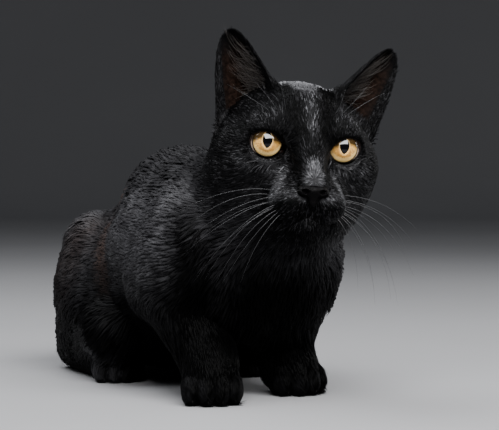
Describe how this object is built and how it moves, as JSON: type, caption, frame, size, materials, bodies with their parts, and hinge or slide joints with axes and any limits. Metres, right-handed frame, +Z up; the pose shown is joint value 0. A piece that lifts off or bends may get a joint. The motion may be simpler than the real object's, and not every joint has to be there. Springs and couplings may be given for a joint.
{
  "type": "cat",
  "caption": "Still, life-size model of a black short-haired cat in a crouch, forepaws in front of the chest, head up and turned a little, tail laid round its left side.",
  "frame": {"origin": "on the floor, under the middle of the bounding box", "axes": "+Z up, -Y the way the cat's body faces, +X to the cat's own left"},
  "size_m": [0.1706, 0.3756, 0.2169],
  "materials": {
    "coat": "short, smooth, glossy black hair",
    "ear": "thin black hair over grey-pink skin",
    "nose_leather": "pebbled, slightly moist black skin",
    "eye": "wet clear cornea over an amber iris with an upright pupil"
  },
  "bodies": {
    "root": {"head": "coat", "muzzle": "coat", "nose": "nose_leather", "eye_right": "eye", "eye_left": "eye", "ear_right": "ear", "ear_left": "ear", "neck": "coat", "trunk": "coat", "foreleg_right": "coat", "foreleg_left": "coat", "forepaw_right": "coat", "forepaw_left": "coat", "haunch_right": "coat", "haunch_left": "coat", "hock_right": "coat", "hock_left": "coat", "hindpaw_right": "coat", "hindpaw_left": "coat", "tail_base": "coat", "tail_middle": "coat", "tail_tip": "coat"}
  },
  "joints": []
}
